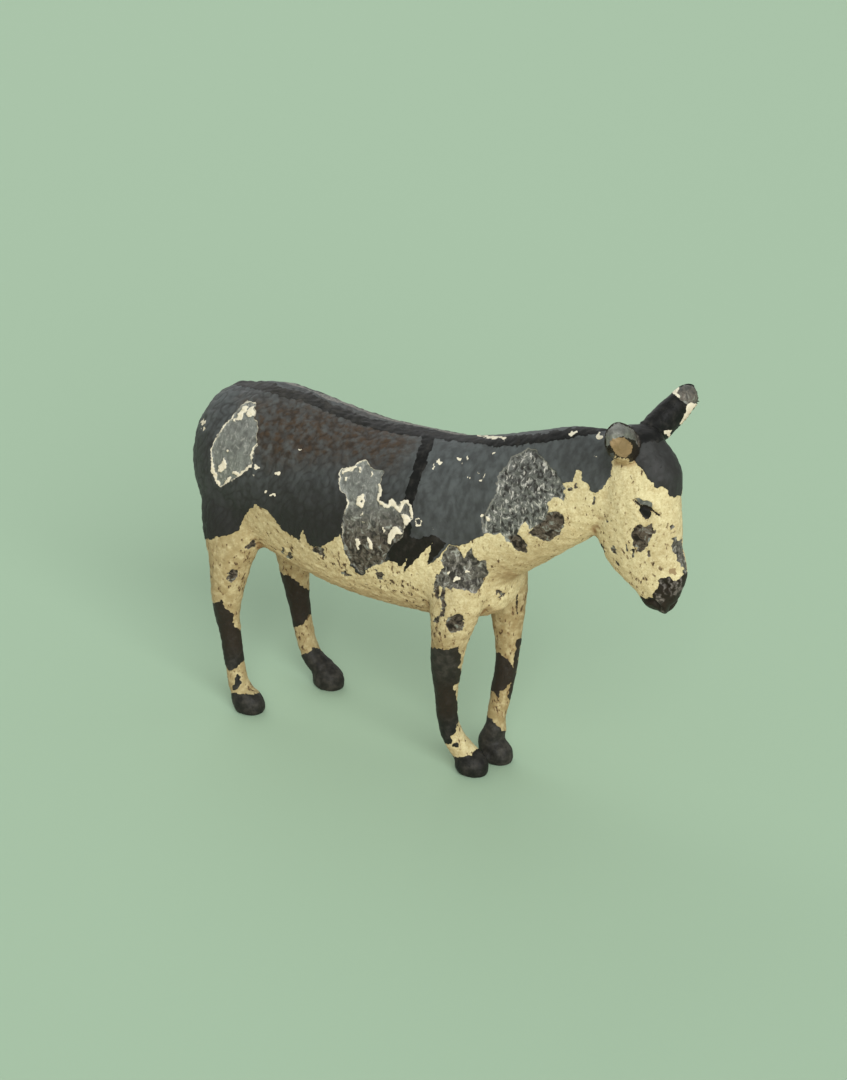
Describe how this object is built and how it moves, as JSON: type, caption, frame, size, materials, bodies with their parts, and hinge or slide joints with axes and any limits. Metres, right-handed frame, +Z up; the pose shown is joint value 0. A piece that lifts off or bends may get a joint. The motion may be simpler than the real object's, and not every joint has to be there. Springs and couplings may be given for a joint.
{
  "type": "donkey figurine",
  "caption": "Standing donkey figurine in painted cast metal, with a hollow split body and soldered legs, spread ears and tail, resting on its hooves.",
  "frame": {"origin": "on the ground, under the middle of the figurine's box", "axes": "+X towards the nose, +Y to the animal's left, +Z up"},
  "size_m": [0.0906, 0.0226, 0.0687],
  "materials": {
    "body_paint": "matt charcoal and cream cold paint, flaked to bare grey metal",
    "leg_paint": "matt cream cold paint with black patches and hooves",
    "ear_paint": "matt black cold paint, worn to bare metal at the tip",
    "tail_paint": "matt black cold paint"
  },
  "bodies": {
    "root": {"body_shell_right": "body_paint", "body_shell_left": "body_paint", "fore_leg_right": "leg_paint", "fore_leg_left": "leg_paint", "hind_leg_right": "leg_paint", "hind_leg_left": "leg_paint", "ear_right": "ear_paint", "ear_left": "ear_paint", "tail": "tail_paint"}
  },
  "joints": []
}
